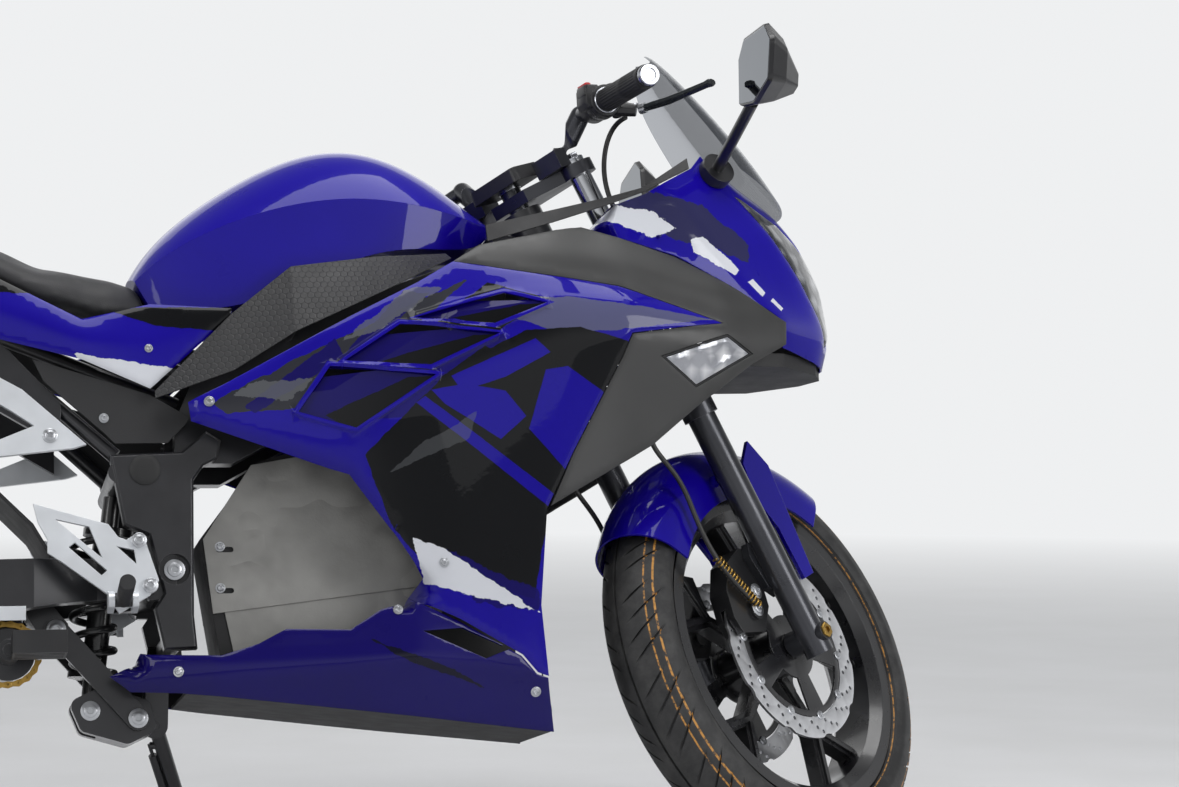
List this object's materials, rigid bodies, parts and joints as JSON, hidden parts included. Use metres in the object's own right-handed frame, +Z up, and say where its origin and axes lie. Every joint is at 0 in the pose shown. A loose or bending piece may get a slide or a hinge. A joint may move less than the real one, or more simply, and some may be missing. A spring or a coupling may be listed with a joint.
{
  "type": "electric bicycle",
  "caption": "Electric bicycle with a sport-motorcycle fairing, small pedals, cast wheels and disc brakes, parked leaning on its side stand with the steering turned left.",
  "frame": {"origin": "on the ground under the middle of the overall box of the parked bike", "axes": "+X towards the front wheel, +Y towards the bike's left, +Z up"},
  "size_m": [1.9478, 0.8218, 1.1229],
  "materials": {
    "tyre_rubber": "matt black tyre rubber",
    "rim_black": "satin black paint",
    "disc_steel": "brushed stainless steel",
    "fork_black": "satin black paint",
    "fork_tube": "gloss black tube",
    "frame_black": "satin black frame paint",
    "bracket_silver": "satin silver casting",
    "plate_silver": "dull aluminium sheet",
    "caliper_black": "black casting with gold caps",
    "grip_rubber": "ribbed black rubber",
    "control_plastic": "black switch plastic",
    "body_blue": "gloss deep blue with black and white graphics",
    "body_black": "gloss black plastic",
    "panel_grey": "matt dark grey plastic",
    "trim_black": "textured black plastic",
    "lens_clear": "clear moulded lens",
    "screen_tint": "dark smoked screen",
    "lens_red": "red moulded lens",
    "lens_amber": "amber moulded lens",
    "seat_cover": "black grained seat cover",
    "mirror_case": "gloss black mirror case",
    "spring_black": "black coil spring",
    "chain_brass": "brass-coloured roller chain",
    "crank_black": "black crank arms",
    "pedal_black": "ribbed black plastic",
    "battery_black": "black battery case"
  },
  "bodies": {
    "chassis": {"battery_box": "battery_black", "battery_covers": "plate_silver", "belly_panels": "body_blue", "belly_tray": "trim_black", "chain": "chain_brass", "cowl_sides": "panel_grey", "fairing_stay": "frame_black", "front_signals": "lens_clear", "headlights": "lens_clear", "inner_trim": "trim_black", "knee_pads": "trim_black", "main_frame": "frame_black", "mirrors": "mirror_case", "nose_chin": "trim_black", "nose_cowl": "body_blue", "peg_brackets": "bracket_silver", "pillion_brackets": "bracket_silver", "pillion_seat": "seat_cover", "rear_caliper": "caliper_black", "rear_fender": "trim_black", "rear_shock": "spring_black", "rear_signals": "lens_amber", "seat": "seat_cover", "shock_linkage": "frame_black", "side_covers": "body_blue", "side_fairings": "body_blue", "splash_guard": "trim_black", "subframe": "frame_black", "swingarm": "frame_black", "tail_cap": "body_blue", "tail_lamp": "lens_red", "tank": "body_blue", "under_covers": "trim_black", "vent_vanes": "body_black", "windscreen": "screen_tint"},
    "steering": {"fork_sliders": "fork_black", "fork_tubes": "fork_tube", "triple_clamps": "fork_black", "handlebar": "fork_black", "grips": "grip_rubber", "controls": "control_plastic", "front_fender": "body_blue", "front_calipers": "caliper_black", "brake_hoses": "grip_rubber", "dash": "control_plastic"},
    "front_wheel": {"front_rim": "rim_black", "front_tyre": "tyre_rubber", "front_discs": "disc_steel"},
    "rear_wheel": {"rear_rim": "rim_black", "rear_tyre": "tyre_rubber", "rear_disc": "disc_steel"},
    "side_stand": {"side_stand": "frame_black"},
    "crankset": {"crankset": "crank_black"},
    "pedal_right": {"pedal_right": "pedal_black"},
    "pedal_left": {"pedal_left": "pedal_black"},
    "peg_right": {"peg_right": "pedal_black"},
    "peg_left": {"peg_left": "pedal_black"}
  },
  "joints": [
    {"name": "steering_turn", "type": "hinge", "parent": "chassis", "child": "steering", "pos_m": [0.43244, -0.03707, 0.8271], "axis": [-0.4172, 0.1734, 0.8921], "range_deg": [-76, 0]},
    {"name": "front_wheel_spin", "type": "hinge", "parent": "steering", "child": "front_wheel", "pos_m": [0.7225, -0.12097, 0.27287], "axis": [-0.5595, 0.7245, -0.4025], "continuous": true},
    {"name": "rear_wheel_spin", "type": "hinge", "parent": "chassis", "child": "rear_wheel", "pos_m": [-0.67008, -0.13941, 0.30059], "axis": [0, 0.9816, -0.1908], "continuous": true},
    {"name": "side_stand_fold", "type": "hinge", "parent": "chassis", "child": "side_stand", "pos_m": [-0.11056, -0.06481, 0.20222], "axis": [0.0024, 0.9732, 0.23], "range_deg": [0, 97]},
    {"name": "crank_spin", "type": "hinge", "parent": "chassis", "child": "crankset", "pos_m": [-0.30611, -0.1404, 0.29552], "axis": [0, 0.9816, -0.1908], "continuous": true},
    {"name": "pedal_right_spin", "type": "hinge", "parent": "crankset", "child": "pedal_right", "pos_m": [-0.27111, -0.3348, 0.33309], "axis": [0, 0.9816, -0.1908], "continuous": true},
    {"name": "pedal_left_spin", "type": "hinge", "parent": "crankset", "child": "pedal_left", "pos_m": [-0.34111, 0.054, 0.25794], "axis": [0, 0.9816, -0.1908], "continuous": true},
    {"name": "peg_right_fold", "type": "hinge", "parent": "chassis", "child": "peg_right", "pos_m": [-0.16576, -0.2944, 0.38369], "axis": [-1, 0.0011, 0.0058], "range_deg": [0, 85]},
    {"name": "peg_left_fold", "type": "hinge", "parent": "chassis", "child": "peg_left", "pos_m": [-0.16576, 0.03542, 0.31958], "axis": [1, -0.0011, -0.0058], "range_deg": [0, 85]}
  ]
}
